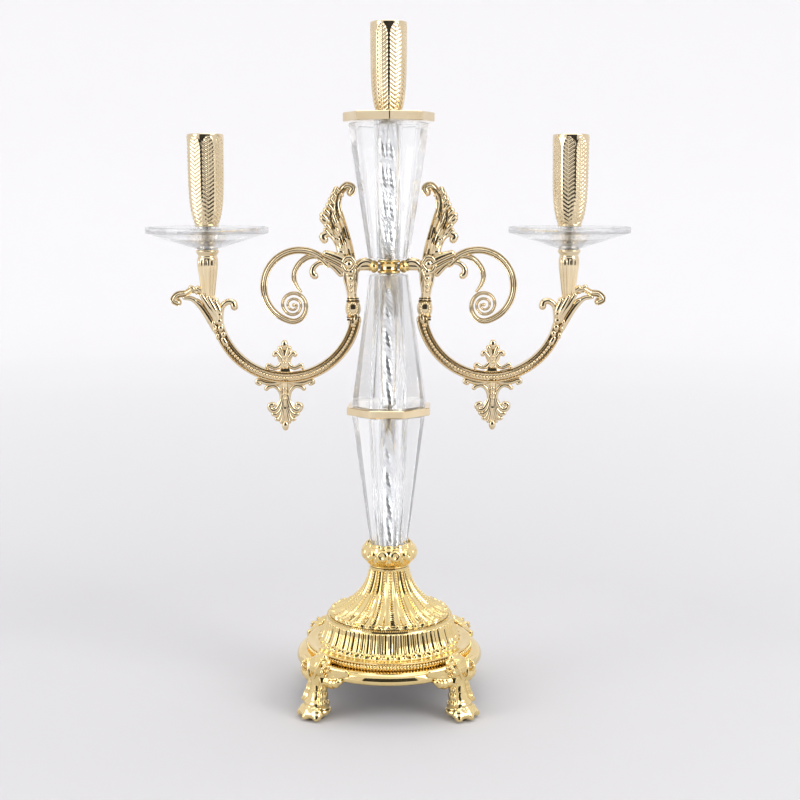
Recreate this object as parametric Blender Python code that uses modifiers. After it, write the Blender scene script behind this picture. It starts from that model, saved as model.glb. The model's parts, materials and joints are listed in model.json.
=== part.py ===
"""Tabletop candelabra: a clamped column of three crystal frusta on a footed base, with two scrolled arms.

Metres, +Z up. The origin is on the column's axis at table height, and the arms lie along X.
Profiles are (radius, height) pairs in millimetres, and so are outlines and routes in the arm's plane,
where the first number is the distance from the column's axis.
"""

import math

import bmesh
import bpy
from mathutils import Matrix, Vector

MM = 0.001

# Driving dimensions, in millimetres
GAP = 0.3  # clearance kept between touching pieces
STACK_TURN = math.radians(-4)  # the crystals and the mid plate stand turned this much from the arms
BASE_TURN = math.radians(-2)  # and the base and its feet this much
ROD_RADIUS = 3.0
ROD_HOLE = 3.4
PLATE_TOP_Z = 474.3
PLATE_TOP_HEIGHT = 7.0
PLATE_MID_Z = 242.1
PLATE_MID_HEIGHT = 6.2
RECESS_DEPTH = 3.2  # the centre cup's foot sits this deep in the top plate
RECESS_RADIUS = 12.0
HUB_LOW_Z = 348.4
HUB_HIGH_Z = 359.3
HUB_MID_Z = (HUB_LOW_Z + HUB_HIGH_Z) / 2
GASKET_HEIGHT = 0.5
SEAT_STEP = GASKET_HEIGHT + 2 * GAP  # from a metal face to the crystal that stands on it
SEAT_Z = 125.4  # the neck collar's seat for the lowest crystal
CRYSTAL_BORE = 6.8
SLEEVE_RADIUS = 6.0
ARM_REACH = 144.0  # from the column's axis to a side candle's axis
ARM_TOP_Z = 367.3
DISH_RADIUS = 48.5
DISH_HEIGHT = 16.8
CUP_HEIGHT = 72.0
CUP_RIM_RADIUS = 14.4
CUP_BORE_RADIUS = 11.6  # takes a candle of 22 mm
CUP_FLOOR = 24.5  # the candle stands this far above the cup's foot
DRUM_LOW_Z = 31.4
DRUM_HIGH_Z = 68.6
FOOT_RADIUS = 80.0  # from the column's axis to the middle of a paw
PAD_HEIGHT = 1.5
SCREW_CIRCLE = 60.0
FOOT_NAMES = {"front_right": -45, "back_right": 45, "back_left": 135, "front_left": 225}

COLOURS = {
    "gold_pale": ((0.60, 0.46, 0.25), 0.18, 1.0),
    "gold_rich": ((0.82, 0.58, 0.20), 0.14, 1.0),
    "crystal": ((0.93, 0.96, 0.97), 0.03, 0.0),
    "silver": ((0.78, 0.79, 0.81), 0.15, 1.0),
    "steel": ((0.45, 0.45, 0.46), 0.30, 1.0),
    "iron": ((0.10, 0.10, 0.10), 0.60, 1.0),
    "rubber": ((0.02, 0.02, 0.02), 0.70, 0.0),
    "gasket": ((0.80, 0.82, 0.82), 0.40, 0.0),
}


def clear_scene():
    for item in list(bpy.data.objects):
        bpy.data.objects.remove(item)


def new_collection(name):
    collection = bpy.data.collections.new(name)
    bpy.context.scene.collection.children.link(collection)
    return collection


def new_material(name, colour, roughness, metallic):
    """Principled material with one colour."""
    material = bpy.data.materials.new(name)
    material.use_nodes = True
    shader = material.node_tree.nodes["Principled BSDF"]
    shader.inputs["Base Color"].default_value = (*colour, 1.0)
    shader.inputs["Roughness"].default_value = roughness
    shader.inputs["Metallic"].default_value = metallic
    return material


clear_scene()
PARTS = new_collection("tabletop_candelabra")
CUTTERS = new_collection("cutters")


def add_part(name, mesh, finish, parent=None, location=(0, 0, 0), turn=0.0):
    """An object of the model, with a material of its own, placed in millimetres."""
    part = bpy.data.objects.new(name, mesh)
    PARTS.objects.link(part)
    part.data.materials.clear()
    part.data.materials.append(new_material(name, *COLOURS[finish]))
    part.location = Vector(location) * MM
    part.rotation_euler.z = turn
    part.parent = parent
    return part


def add_empty(name, location=(0, 0, 0), parent=None):
    """A joint's axis: the pieces that move with it are its children."""
    empty = bpy.data.objects.new(name, None)
    PARTS.objects.link(empty)
    empty.location = Vector(location) * MM
    empty.parent = parent
    return empty


def mesh_from(build):
    """A mesh that build(bmesh) fills, in millimetres, turned into metres."""
    shape = bmesh.new()
    build(shape)
    shape.transform(Matrix.Scale(MM, 4))
    mesh = bpy.data.meshes.new("shape")
    shape.to_mesh(mesh)
    shape.free()
    return mesh


def baked(item):
    """The evaluated mesh of an object where it stands, welded. The object is removed."""
    bpy.context.view_layer.update()
    evaluated = item.evaluated_get(bpy.context.evaluated_depsgraph_get())
    mesh = bpy.data.meshes.new_from_object(evaluated)
    mesh.transform(item.matrix_world)
    shape = bmesh.new()
    shape.from_mesh(mesh)
    bmesh.ops.remove_doubles(shape, verts=shape.verts, dist=0.000005)
    shape.to_mesh(mesh)
    shape.free()
    bpy.data.objects.remove(item)
    return mesh


def combined(meshes, operation="UNION"):
    """One closed mesh: the first one joined with, or cut by, each of the others in turn."""
    body = bpy.data.objects.new("body", meshes[0])
    CUTTERS.objects.link(body)
    others = []
    for mesh in meshes[1:]:
        other = bpy.data.objects.new("other", mesh)
        CUTTERS.objects.link(other)
        others.append(other)
        modifier = body.modifiers.new("boolean", "BOOLEAN")
        modifier.operation = operation
        modifier.object = other
    result = baked(body)
    for other in others:
        bpy.data.objects.remove(other)
    return result


def turned(profile, segments=32, closed=True):
    """A turned solid. A closed profile is a ring, and an open one starts and ends on the axis."""

    def build(shape):
        points = [shape.verts.new((radius, 0, height)) for radius, height in profile]
        pairs = list(zip(points, points[1:]))
        if closed:
            pairs.append((points[-1], points[0]))
        for pair in pairs:
            shape.edges.new(pair)

    item = bpy.data.objects.new("profile", mesh_from(build))
    CUTTERS.objects.link(item)
    screw = item.modifiers.new("screw", "SCREW")
    screw.steps = segments
    screw.render_steps = segments
    screw.use_merge_vertices = True
    screw.merge_threshold = 0.00001
    screw.use_smooth_shade = True
    mesh = baked(item)
    mesh.set_sharp_from_angle(angle=math.radians(35))
    return mesh


def prism(radius_low, radius_high, low, high, sides=8, turn=0.0):
    """An upright prism or frustum between two heights. Radii are to its vertices."""

    def build(shape):
        bmesh.ops.create_cone(
            shape,
            cap_ends=True,
            segments=sides,
            radius1=radius_low,
            radius2=radius_high,
            depth=high - low,
            matrix=Matrix.Translation((0, 0, (low + high) / 2)) @ Matrix.Rotation(turn, 4, "Z"),
        )

    return mesh_from(build)


def along_x(mesh, height):
    """Lays a mesh that stands on the Z axis down, so that it points along +X at this height."""
    mesh.transform(Matrix.Translation((0, 0, height * MM)) @ Matrix.Rotation(math.pi / 2, 4, "Y"))
    return mesh


def box(low, high):
    """A box between two corners."""

    def build(shape):
        size = [b - a for a, b in zip(low, high)]
        centre = [(a + b) / 2 for a, b in zip(low, high)]
        matrix = Matrix.Translation(centre) @ Matrix.Diagonal((*size, 1.0))
        bmesh.ops.create_cube(shape, size=1.0, matrix=matrix)

    return mesh_from(build)


def tube(route, radius, sizes=None, resolution=2):
    """A round bar along a route in the arm's plane. sizes are its radii as shares of radius."""
    curve = bpy.data.curves.new("route", "CURVE")
    curve.dimensions = "3D"
    curve.bevel_depth = radius * MM
    curve.bevel_resolution = resolution
    curve.use_fill_caps = True
    spline = curve.splines.new("POLY")
    spline.points.add(len(route) - 1)
    for index, (across, height) in enumerate(route):
        spline.points[index].co = (across * MM, 0, height * MM, 1)
        if sizes:
            share = index / (len(route) - 1) * (len(sizes) - 1)
            before = min(int(share), len(sizes) - 2)
            spline.points[index].radius = (
                sizes[before] + (sizes[before + 1] - sizes[before]) * (share - before)
            )
    item = bpy.data.objects.new("route", curve)
    CUTTERS.objects.link(item)
    return baked(item)


def flat_shape(outline, thickness):
    """A flat plate in the arm's plane, centred on it."""
    curve = bpy.data.curves.new("outline", "CURVE")
    curve.dimensions = "2D"
    curve.fill_mode = "BOTH"
    curve.extrude = thickness / 2 * MM
    spline = curve.splines.new("POLY")
    spline.use_cyclic_u = True
    spline.points.add(len(outline) - 1)
    for point, (across, height) in zip(spline.points, outline):
        point.co = (across * MM, height * MM, 0, 1)
    item = bpy.data.objects.new("outline", curve)
    item.rotation_euler.x = math.pi / 2
    CUTTERS.objects.link(item)
    return baked(item)


def smooth_route(points, per_span=4):
    """A Catmull-Rom curve through the points."""
    ends = [points[0], *points, points[-1]]
    route = []
    for index in range(len(points) - 1):
        a, b, c, d = (Vector(point) for point in ends[index : index + 4])
        for step in range(per_span):
            t = step / per_span
            route.append(
                0.5
                * (2 * b + (c - a) * t + (2 * a - 5 * b + 4 * c - d) * t**2 + (3 * b - a - 3 * c + d) * t**3)
            )
    route.append(Vector(points[-1]))
    return [tuple(point) for point in route]


def arc(centre, radius, start, end, count, end_radius=None):
    """Points round a centre, from one angle to another in degrees. The radius may change on the way."""
    last = radius if end_radius is None else end_radius
    points = []
    for index in range(count + 1):
        share = index / count
        angle = math.radians(start + (end - start) * share)
        reach = radius + (last - radius) * share
        points.append((centre[0] + reach * math.cos(angle), centre[1] + reach * math.sin(angle)))
    return points


def cut_with(part, name, mesh):
    """Cuts a part with a live Boolean whose cutter stays in the scene as a guide."""
    cutter = bpy.data.objects.new(name, mesh)
    CUTTERS.objects.link(cutter)
    cutter.hide_render = True
    cutter.display_type = "WIRE"
    cutter.location = part.location
    cutter.rotation_euler = part.rotation_euler
    modifier = part.modifiers.new("bore", "BOOLEAN")
    modifier.operation = "DIFFERENCE"
    modifier.object = cutter
    return part


# ---------------------------------------------------------------- base

DRUM_OUTSIDE = [
    (50.6, DRUM_HIGH_Z),
    (51.8, 64.0),
    (54.0, 56.5),
    (58.6, 48.4),
    (64.6, 47.6),
    (67.4, 45.8),
    (66.9, 42.0),
    (70.6, 41.0),
    (73.7, 38.4),
    (74.7, 35.0),
    (73.2, DRUM_LOW_Z),
]
DRUM_INSIDE = [
    (70.6, DRUM_LOW_Z),
    (71.9, 35.0),
    (70.6, 37.6),
    (63.9, 39.4),
    (63.9, 44.6),
    (56.4, 45.4),
    (51.2, 55.0),
    (48.0, 64.8),
    (18.0, 64.8),
    (18.0, DRUM_HIGH_Z),
]
BELL_OUTSIDE = [
    (15.6, 109.0),
    (16.2, 104.8),
    (18.2, 98.3),
    (21.6, 91.3),
    (26.6, 85.4),
    (36.0, 77.0),
    (46.0, 72.6),
    (49.3, 71.2),
    (49.3, DRUM_HIGH_Z + GAP),
]
BELL_INSIDE = [
    (45.5, DRUM_HIGH_Z + GAP),
    (34.0, 74.2),
    (24.0, 82.4),
    (18.6, 89.8),
    (14.0, 99.8),
    (12.4, 106.0),
    (5.0, 106.0),
    (5.0, 109.0),
]
COLLAR_PROFILE = [
    (18.1, 129.0),
    (19.8, 126.2),
    (22.3, 122.6),
    (23.3, 118.6),
    (22.2, 114.8),
    (19.0, 111.8),
    (15.7, 109.3),
    (ROD_HOLE, 109.3),
    (ROD_HOLE, SEAT_Z),
    (17.2, SEAT_Z),
    (17.2, 129.0),
]


def make_base():
    """The hollow castings of the base, its ballast and its cover."""
    add_part("base_drum", turned(DRUM_OUTSIDE + DRUM_INSIDE, 30), "gold_rich", turn=BASE_TURN)
    add_part("base_bell", turned(BELL_OUTSIDE + BELL_INSIDE, 24), "gold_rich", turn=BASE_TURN)
    add_part("neck_collar", turned(COLLAR_PROFILE, 24), "gold_rich", turn=BASE_TURN)
    weight = [(47.2, 64.2), (50.4, 54.6), (55.6, 44.2), (62.4, 43.8), (62.4, 38.2), (12.0, 38.2), (12.0, 64.2)]
    add_part("base_weight", turned(weight, 24), "iron")
    plate = add_part("base_plate", prism(69.6, 69.6, 32.0, 34.6, 32), "steel")
    holes = [prism(ROD_HOLE, ROD_HOLE, 25, 40, 12)]
    for angle in FOOT_NAMES.values():
        hole = prism(2.4, 2.4, 25, 40, 10)
        place = Matrix.Rotation(math.radians(angle) + BASE_TURN, 4, "Z")
        hole.transform(place @ Matrix.Translation((SCREW_CIRCLE * MM, 0, 0)))
        holes.append(hole)
    cut_with(plate, "base_plate_holes", combined(holes))


def foot_mesh():
    """A paw foot that stands at +X: shoulder, ankle, paw and the lug that the screw holds."""
    leg_route = smooth_route([(81, 48), (80, 41), (77.5, 32), (76.5, 24), (78, 15), (81, 6)], 3)
    leg = tube(leg_route, 9.6, [0.6, 1.1, 1.0, 0.78, 0.9, 1.0], resolution=2)
    leg.transform(Matrix.Diagonal((1, 1.1, 1, 1)))

    def build_paw(shape):
        bmesh.ops.create_icosphere(shape, subdivisions=2, radius=1.0)
        shape.transform(Matrix.Diagonal((14.2, 13.2, 8.4, 1)))
        shape.transform(Matrix.Translation((FOOT_RADIUS + 2.3, 0.0, 6.6)))

    lug = box((54, -7, 27.4), (76, 7, DRUM_LOW_Z - GAP))
    foot = combined([leg, mesh_from(build_paw), lug])
    rim = [(radius + GAP, height) for radius, height in DRUM_OUTSIDE[4:-1]]
    around_drum = [(0, 60), (60, 60), *rim, (73.5, DRUM_LOW_Z - GAP), (0, DRUM_LOW_Z - GAP)]
    below_pad = box((50, -30, -20), (110, 30, PAD_HEIGHT + GAP))
    hole = prism(2.4, 2.4, 20, 50, 10)
    hole.transform(Matrix.Translation((SCREW_CIRCLE * MM, 0, 0)))
    drum_space = turned(around_drum, 60, closed=False)
    return combined([foot, drum_space, below_pad, hole], "DIFFERENCE")


def make_feet():
    foot = foot_mesh()
    pad = turned([(0, PAD_HEIGHT), (6.6, PAD_HEIGHT), (6.6, 0.0), (0, 0.0)], 16, closed=False)
    screw_profile = [(0, 36.8), (2.0, 36.8), (2.0, 27.0), (4.0, 27.0), (4.0, 24.4), (0, 24.4)]
    screw = turned(screw_profile, 10, closed=False)
    for name, angle in FOOT_NAMES.items():
        turn = math.radians(angle) + BASE_TURN
        add_part("foot_" + name, foot.copy(), "gold_rich", turn=turn)
        for kind, mesh, reach, finish in (
            ("foot_pad_", pad, FOOT_RADIUS + 1.5, "rubber"),
            ("foot_screw_", screw, SCREW_CIRCLE, "steel"),
        ):
            place = (reach * math.cos(turn), reach * math.sin(turn), 0)
            add_part(kind + name, mesh.copy(), finish, location=place)


# ---------------------------------------------------------------- column


def gasket(name, height, radius):
    """A thin clear washer between a metal face and a crystal, from its lower face up."""
    high = height + GASKET_HEIGHT
    ring = [(radius, high), (radius, height), (8.0, height), (8.0, high)]
    add_part(name, turned(ring, 16), "gasket")


def crystal(name, radius_low, radius_high, low, high, vertex_forward):
    """An eight-sided frustum with a bore for the sleeve, and the sleeve in it."""
    turn = 0.0 if vertex_forward else math.radians(22.5)
    block = add_part(
        "glass_" + name,
        prism(radius_low, radius_high, low + SEAT_STEP, high - SEAT_STEP, turn=turn),
        "crystal",
        turn=STACK_TURN,
    )
    cut_with(block, f"glass_{name}_bore", prism(CRYSTAL_BORE, CRYSTAL_BORE, low, high, 20))
    sleeve_low = low + GAP
    sleeve_high = high - GAP
    wall = [
        (SLEEVE_RADIUS, sleeve_high),
        (SLEEVE_RADIUS, sleeve_low),
        (ROD_HOLE, sleeve_low),
        (ROD_HOLE, sleeve_high),
    ]
    add_part("twist_sleeve_" + name, turned(wall, 16), "silver")
    gasket(f"gasket_{name}_low", low + GAP, min(12.0, radius_low * 0.8))
    gasket(f"gasket_{name}_high", high - GAP - GASKET_HEIGHT, min(12.0, radius_high * 0.8))


def octagon_plate(name, radius, low, high, vertex_forward, stack_turn):
    turn = 0.0 if vertex_forward else math.radians(22.5)
    plate = add_part(name, prism(radius, radius, low, high, turn=turn), "gold_pale", turn=stack_turn)
    bevel = plate.modifiers.new("edges", "BEVEL")
    bevel.width = 0.5 * MM
    bevel.segments = 1
    return cut_with(plate, name + "_bore", prism(ROD_HOLE, ROD_HOLE, low - 5, high + 5, 12))


def nut(name, low, high, radius):
    body = add_part(name, prism(radius, radius, low, high, 6), "steel")
    cut_with(body, name + "_bore", prism(ROD_RADIUS + GAP, ROD_RADIUS + GAP, low - 5, high + 5, 12))


def make_column():
    plate_mid_low = PLATE_MID_Z - PLATE_MID_HEIGHT
    plate_top_low = PLATE_TOP_Z - PLATE_TOP_HEIGHT
    recess_floor = PLATE_TOP_Z - RECESS_DEPTH
    crystal("lower", 16.3, 31.8, SEAT_Z, plate_mid_low, False)
    crystal("middle", 31.8, 16.4, PLATE_MID_Z, HUB_LOW_Z, False)
    crystal("upper", 16.4, 32.3, HUB_HIGH_Z, plate_top_low, True)
    octagon_plate("mid_plate", 36.0, plate_mid_low, PLATE_MID_Z, False, STACK_TURN)
    top_plate = octagon_plate("top_plate", 36.2, plate_top_low, PLATE_TOP_Z, True, 0.0)
    recess = prism(RECESS_RADIUS, RECESS_RADIUS, recess_floor, PLATE_TOP_Z + 5, 24)
    cut_with(top_plate, "top_plate_recess", recess)
    rod = [(0, 478.0), (ROD_RADIUS, 478.0), (ROD_RADIUS, 19.4), (0, 19.4)]
    add_part("tie_rod", turned(rod, 12, closed=False), "steel")
    nut("rod_nut_top", recess_floor + GAP, recess_floor + 4.0, 5.4)
    washer = [(9.0, 31.7), (9.0, 30.2), (ROD_HOLE, 30.2), (ROD_HOLE, 31.7)]
    add_part("rod_washer", turned(washer, 16), "steel")
    nut("rod_nut_bottom", 24.6, 29.9, 6.4)


# ---------------------------------------------------------------- arms

C_CENTRE = (82.0, 321.1)
C_RADIUS = 56.2
SCROLL_CENTRE = (71.0, 338.0)
SCROLL_RADIUS = 28.8
VOLUTE_CENTRE = (76.0, 323.5)
PALMETTE_U = 83.8

PALMETTE_HALF = [  # from the top tip down one side, as (offset from the middle, height)
    (0.0, 296.2),
    (2.8, 293.0),
    (6.0, 291.4),
    (6.4, 288.6),
    (9.8, 286.6),
    (8.4, 282.8),
    (4.4, 280.6),
    (4.2, 277.4),
    (15.4, 277.0),
    (15.6, 272.8),
    (10.0, 269.4),
    (24.3, 265.6),
    (24.0, 260.4),
    (18.0, 256.2),
    (9.0, 257.6),
    (3.9, 249.0),
    (7.0, 245.0),
    (13.2, 244.6),
    (13.6, 239.4),
    (9.8, 237.4),
    (10.2, 233.2),
    (6.6, 229.2),
    (3.0, 226.4),
    (0.0, 222.5),
]

LEAF_OUTLINE = [
    (29.6, 353.0),
    (31.6, 365.0),
    (33.7, 373.5),
    (36.8, 384.0),
    (39.2, 394.5),
    (39.6, 403.5),
    (37.4, 409.6),
    (34.0, 412.2),
    (29.4, 412.0),
    (26.4, 415.6),
    (28.4, 419.6),
    (33.0, 421.2),
    (38.0, 419.4),
    (44.6, 412.6),
    (46.0, 405.8),
    (52.4, 395.6),
    (50.6, 390.4),
    (46.8, 382.2),
    (54.0, 378.6),
    (48.2, 375.4),
    (42.4, 371.6),
    (40.0, 362.0),
    (39.0, 355.0),
]


def arm_mesh():
    """The right arm, one casting: C scroll, stem, palmette, leaf sprig and inner scroll."""
    neck = smooth_route([(31.0, 355.1), (30.0, 343.1), (30.4, 333.1), (28.8, 320.1), (29.6, 312.1)], 3)
    neck_sizes = [0.75, 1.15, 0.7, 1.3, 0.85]
    c_arc = arc(C_CENTRE, C_RADIUS, 184, 350, 19)
    c_route = c_arc + [(140.5, 326.1), (143.6, 336.1)]
    stem = turned(
        [
            (0, ARM_TOP_Z),
            (9.1, ARM_TOP_Z),
            (9.1, 361.3),
            (8.2, 359.1),
            (5.9, 331.7),
            (5.2, 326.1),
            (0, 326.1),
        ],
        16,
        closed=False,
    )
    stem.transform(Matrix.Translation((ARM_REACH * MM, 0, 0)))
    outer_curl = smooth_route(
        [(144.5, 329.1), (151.0, 334.1), (160.0, 335.3), (168.5, 334.1), (173.0, 328.6), (170.0, 325.1)], 2
    )
    inner_curl = smooth_route([(143.0, 327.1), (137.0, 329.1), (131.0, 326.7), (127.5, 322.7)], 3)
    scroll = arc(SCROLL_CENTRE, SCROLL_RADIUS, 141, -72, 17)
    volute = arc(VOLUTE_CENTRE, 13.3, -90, -560, 17, end_radius=2.2)
    branch = smooth_route(
        [(44.0, 356.6), (54.0, 357.7), (66.0, 358.5), (75.6, 353.5), (78.6, 344.1), (75.2, 333.1)], 2
    )
    leaf_curl = smooth_route([(46.0, 357.1), (53.0, 356.7), (59.0, 353.1), (60.0, 346.1)], 2)
    junction = smooth_route([(32.0, 354.6), (40.0, 357.1), (50.0, 359.5)], 2)
    palmette = [(PALMETTE_U + side, height) for side, height in PALMETTE_HALF]
    palmette += [(PALMETTE_U - side, height) for side, height in reversed(PALMETTE_HALF[1:-1])]
    stub = along_x(prism(4.6, 4.6, 15.0, 33.0, 12), HUB_MID_Z)
    pieces = [
        tube(c_route, 4.7),
        tube(neck, 5.0, neck_sizes),
        stem,
        tube(outer_curl, 3.1, [1.4, 1.2, 1.0], resolution=1),
        tube(inner_curl, 2.5, [1.4, 1.0], resolution=1),
        tube(scroll + volute[1:], 2.8, [1.2, 1.05, 1.0, 0.95, 0.85, 0.7], resolution=1),
        tube(branch, 2.1, [1.3, 1.0], resolution=1),
        tube(leaf_curl, 2.4, resolution=1),
        tube(junction, 4.8),
        flat_shape(palmette, 5.6),
        flat_shape(LEAF_OUTLINE, 5.2),
        stub,
    ]
    arm = combined(pieces)
    bolt_hole = along_x(prism(2.4, 2.4, 5.0, 23.0, 12), HUB_MID_Z)
    stud_hole = prism(4.3, 4.3, 353.0, 373.0, 12)
    stud_hole.transform(Matrix.Translation((ARM_REACH * MM, 0, 0)))
    return combined([arm, bolt_hole, stud_hole], "DIFFERENCE")


HUB_PROFILE = [
    (9.0, HUB_HIGH_Z),
    (9.0, HUB_HIGH_Z - 1.8),
    (7.2, HUB_HIGH_Z - 2.8),
    (6.5, HUB_MID_Z),
    (7.2, HUB_LOW_Z + 2.8),
    (9.0, HUB_LOW_Z + 1.8),
    (9.0, HUB_LOW_Z),
    (ROD_HOLE, HUB_LOW_Z),
    (ROD_HOLE, HUB_HIGH_Z),
]

DISH_PROFILE = [
    (CUP_BORE_RADIUS - 2.4, DISH_HEIGHT),
    (9.4, 6.4),
    (14.0, 5.4),
    (30.0, 9.2),
    (44.4, 13.8),
    (46.2, DISH_HEIGHT),
    (DISH_RADIUS, DISH_HEIGHT),
    (DISH_RADIUS, 12.0),
    (10.0, 0.0),
    (5.2, 0.0),
    (5.2, DISH_HEIGHT),
]

CUP_PROFILE = [
    (CUP_BORE_RADIUS, CUP_HEIGHT),
    (CUP_RIM_RADIUS, CUP_HEIGHT),
    (14.2, 54.0),
    (14.0, 38.0),
    (13.5, 22.0),
    (12.4, 12.4),
    (10.8, 6.2),
    (9.6, 2.4),
    (9.4, 0.0),
    (6.4, 0.0),
    (6.4, 9.0),
    (0.0, 9.0),
]


def make_mirrored(name, mesh, side, finish, parent):
    """A piece of the right arm, or its mirror image for the left one."""
    copy = mesh.copy()
    if side < 0:
        copy.transform(Matrix.Scale(-1, 4, (1, 0, 0)))
        copy.flip_normals()
    return add_part(name, copy, finish, parent=parent)


def make_cup(name, location, parent):
    inside = [(0.0, CUP_FLOOR), (CUP_BORE_RADIUS, CUP_FLOOR)]
    add_part(name, turned(inside + CUP_PROFILE, 20, closed=False), "gold_pale", parent, location)


def make_arm_set():
    """Everything that turns with the hub, and the dishes and cups that lift off the arms."""
    swivel = add_empty("hub_swivel_axis")
    hub = add_part("arm_hub", turned(HUB_PROFILE, 20), "gold_pale", parent=swivel)
    cross_hole = along_x(prism(2.4, 2.4, -12.0, 12.0, 12, turn=0.1), HUB_MID_Z)
    cut_with(hub, "arm_hub_cross_hole", cross_hole)
    arm = arm_mesh()
    bolt = along_x(prism(2.0, 2.0, 4.2, 22.0, 12), HUB_MID_Z)
    collar = along_x(turned([(3.6, 14.7), (3.6, 9.4), (2.5, 9.4), (2.5, 14.7)], 16), HUB_MID_Z)
    stud = turned([(0, 392.1), (4.0, 392.1), (4.0, 354.1), (0, 354.1)], 12, closed=False)
    washer_low = ARM_TOP_Z + GAP
    washer_high = washer_low + GASKET_HEIGHT
    washer = turned([(8.4, washer_high), (8.4, washer_low), (4.8, washer_low), (4.8, washer_high)], 16)
    dish = turned(DISH_PROFILE, 30)
    dish_low = washer_high + GAP
    cup_low = dish_low + DISH_HEIGHT + GAP
    for side, word in ((1, "right"), (-1, "left")):
        across = side * ARM_REACH
        make_mirrored("arm_" + word, arm, side, "gold_pale", swivel)
        make_mirrored("arm_bolt_" + word, bolt, side, "steel", swivel)
        make_mirrored("arm_collar_" + word, collar, side, "gold_rich", swivel)
        add_part("cup_stud_" + word, stud.copy(), "steel", swivel, (across, 0, 0))
        add_part("dish_washer_" + word, washer.copy(), "gasket", swivel, (across, 0, 0))
        dish_axis = add_empty("dish_axis_" + word, (across, 0, dish_low), swivel)
        add_part("drip_dish_" + word, dish.copy(), "crystal", dish_axis)
        cup_axis = add_empty("cup_axis_" + word, (0, 0, cup_low - dish_low), dish_axis)
        make_cup("candle_cup_" + word, (0, 0, 0), cup_axis)
    centre_axis = add_empty("cup_axis_center", (0, 0, PLATE_TOP_Z - RECESS_DEPTH + GAP))
    make_cup("candle_cup_center", (0, 0, 0), centre_axis)


make_base()
make_feet()
make_column()
make_arm_set()
bpy.context.view_layer.update()
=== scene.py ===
import json
import math

import bmesh
import bpy
import numpy as np
from mathutils import Matrix, Vector


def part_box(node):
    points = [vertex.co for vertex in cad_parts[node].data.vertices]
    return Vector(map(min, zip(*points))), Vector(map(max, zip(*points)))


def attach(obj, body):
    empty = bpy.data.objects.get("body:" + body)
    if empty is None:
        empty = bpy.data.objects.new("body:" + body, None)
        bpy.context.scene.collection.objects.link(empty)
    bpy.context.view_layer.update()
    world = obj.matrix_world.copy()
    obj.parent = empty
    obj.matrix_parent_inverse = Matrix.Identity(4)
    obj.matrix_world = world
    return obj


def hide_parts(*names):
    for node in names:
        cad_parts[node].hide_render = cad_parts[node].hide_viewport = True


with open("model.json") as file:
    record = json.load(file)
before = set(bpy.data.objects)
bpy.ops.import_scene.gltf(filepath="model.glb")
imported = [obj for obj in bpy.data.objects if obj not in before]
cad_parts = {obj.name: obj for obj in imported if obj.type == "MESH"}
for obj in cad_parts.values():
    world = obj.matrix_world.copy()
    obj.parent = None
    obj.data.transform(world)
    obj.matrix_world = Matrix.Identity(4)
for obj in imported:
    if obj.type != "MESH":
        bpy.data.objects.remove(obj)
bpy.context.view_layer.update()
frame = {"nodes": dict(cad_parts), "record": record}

MM = 0.001
TAU = 2 * math.pi


def low(node, axis=2):
    """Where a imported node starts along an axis, in millimetres."""
    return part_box(node)[0][axis] / MM


def high(node, axis=2):
    """And where it ends."""
    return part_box(node)[1][axis] / MM


STACK_TURN = math.radians(-4)  # the crystals' turn from the arms
BASE_TURN = math.radians(-2)  # and the base's
SKIN = 0.3  # how far a detailed seat stays from what rests on it
REACH = (low("cup_stud_right", 0) + high("cup_stud_right", 0)) / 2  # from the column to a side cup
STEM_TOP = low("dish_washer_right") - SKIN
HUB_Z = (low("arm_hub") + high("arm_hub")) / 2
ROD_BORE = 3.4  # the radius of the hole for the tie rod
FOOT_ANGLES = {"front_right": -45, "back_right": 45, "back_left": 135, "front_left": 225}
SIDES = {"right": 1, "left": -1}


# --- materials


def node_material(name, build):
    """A material whose nodes build(tree, shader) makes."""
    material = bpy.data.materials.new(name)
    material.use_nodes = True
    tree = material.node_tree
    build(tree, tree.nodes["Principled BSDF"])
    return material


def noise(tree, scale, detail=3.0, roughness=0.5):
    """Object-space noise of this many cells a metre."""
    place = tree.nodes.new("ShaderNodeTexCoord")
    texture = tree.nodes.new("ShaderNodeTexNoise")
    texture.inputs["Scale"].default_value = scale
    texture.inputs["Detail"].default_value = detail
    texture.inputs["Roughness"].default_value = roughness
    tree.links.new(place.outputs["Object"], texture.inputs["Vector"])
    return texture.outputs["Fac"]


def ranged(tree, value, low_out, high_out, low_in=0.3, high_in=0.7):
    """The value moved from one range to another, at first the one that noise mostly lies in."""
    node = tree.nodes.new("ShaderNodeMapRange")
    node.inputs["From Min"].default_value = low_in
    node.inputs["From Max"].default_value = high_in
    node.inputs["To Min"].default_value = low_out
    node.inputs["To Max"].default_value = high_out
    tree.links.new(value, node.inputs["Value"])
    return node.outputs["Result"]


def blended(tree, share, colour_a, colour_b):
    node = tree.nodes.new("ShaderNodeMix")
    node.data_type = "RGBA"
    node.inputs["A"].default_value = (*colour_a, 1)
    node.inputs["B"].default_value = (*colour_b, 1)
    tree.links.new(share, node.inputs["Factor"])
    return node.outputs["Result"]


def bump(tree, shader, height, strength, distance):
    node = tree.nodes.new("ShaderNodeBump")
    node.inputs["Strength"].default_value = strength
    node.inputs["Distance"].default_value = distance
    tree.links.new(height, node.inputs["Height"])
    tree.links.new(node.outputs["Normal"], shader.inputs["Normal"])


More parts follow.
